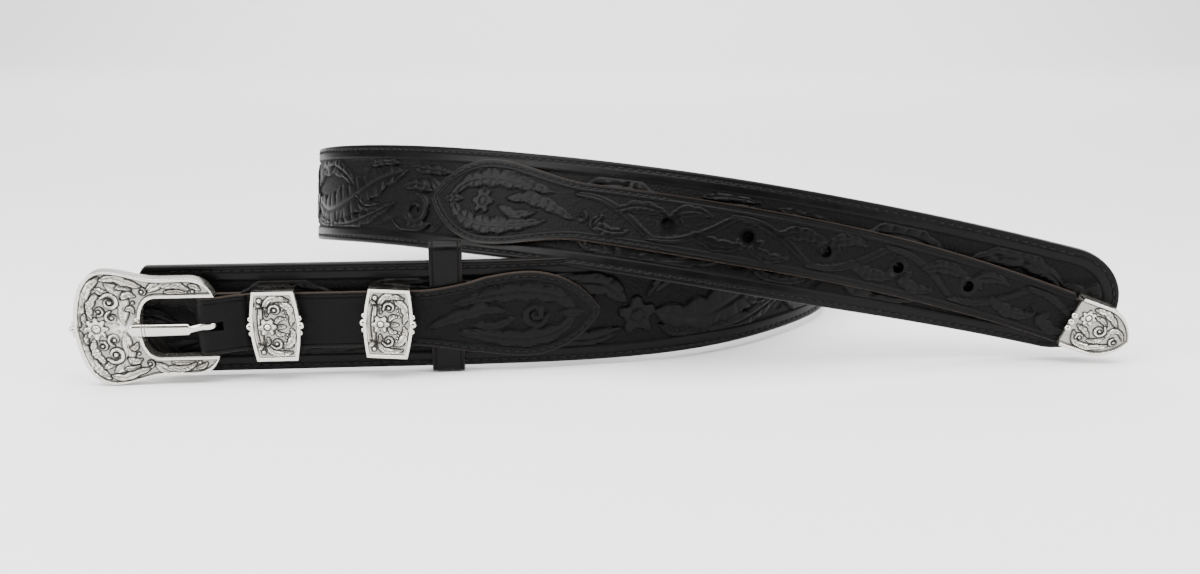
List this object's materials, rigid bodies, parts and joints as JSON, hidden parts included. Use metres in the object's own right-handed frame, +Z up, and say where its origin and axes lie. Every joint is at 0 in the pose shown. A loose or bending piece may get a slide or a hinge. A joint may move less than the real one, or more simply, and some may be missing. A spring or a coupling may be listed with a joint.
{
  "type": "ranger belt",
  "caption": "Loosely coiled leather belt on its edge, with a narrow strap sewn on top, a carved open buckle with a hinged tongue, two sliding keepers, a leather loop and a pointed metal tip.",
  "frame": {"origin": "middle of the coiled belt's box, on the surface that it stands on", "axes": "+X runs along the coil from the buckle towards the tip, +Y points from the tooled front run to the back run, +Z is up across the belt's width"},
  "size_m": [0.3604, 0.1954, 0.0733],
  "materials": {
    "tooled_leather": "near-black tooled leather, low sheen on the raised work, dull in the cuts",
    "strap_leather": "near-black leather with lighter raw edges",
    "antique_silver": "polished silver rims and leaves over a darkened ground"
  },
  "bodies": {
    "belt": {"base_belt": "tooled_leather", "buckle_billet": "strap_leather", "tip_billet": "strap_leather", "leather_loop": "strap_leather", "buckle_frame": "antique_silver", "belt_tip": "antique_silver"},
    "tongue": {"buckle_tongue": "antique_silver"},
    "keeper_1": {"keeper_1": "antique_silver"},
    "keeper_2": {"keeper_2": "antique_silver"}
  },
  "joints": [
    {"name": "tongue_hinge", "type": "hinge", "parent": "belt", "child": "tongue", "pos_m": [-0.13619, -0.08957, 0.02056], "axis": [0.0077, -0.0955, 0.9954], "range_deg": [0, 100]},
    {"name": "keeper_1_slide", "type": "slide", "parent": "belt", "child": "keeper_1", "axis": [0.9968, 0.0802, 0], "range_m": [-0.0015, 0.008]},
    {"name": "keeper_2_slide", "type": "slide", "parent": "belt", "child": "keeper_2", "axis": [0.9968, 0.0802, 0], "range_m": [-0.008, 0.0015]}
  ]
}
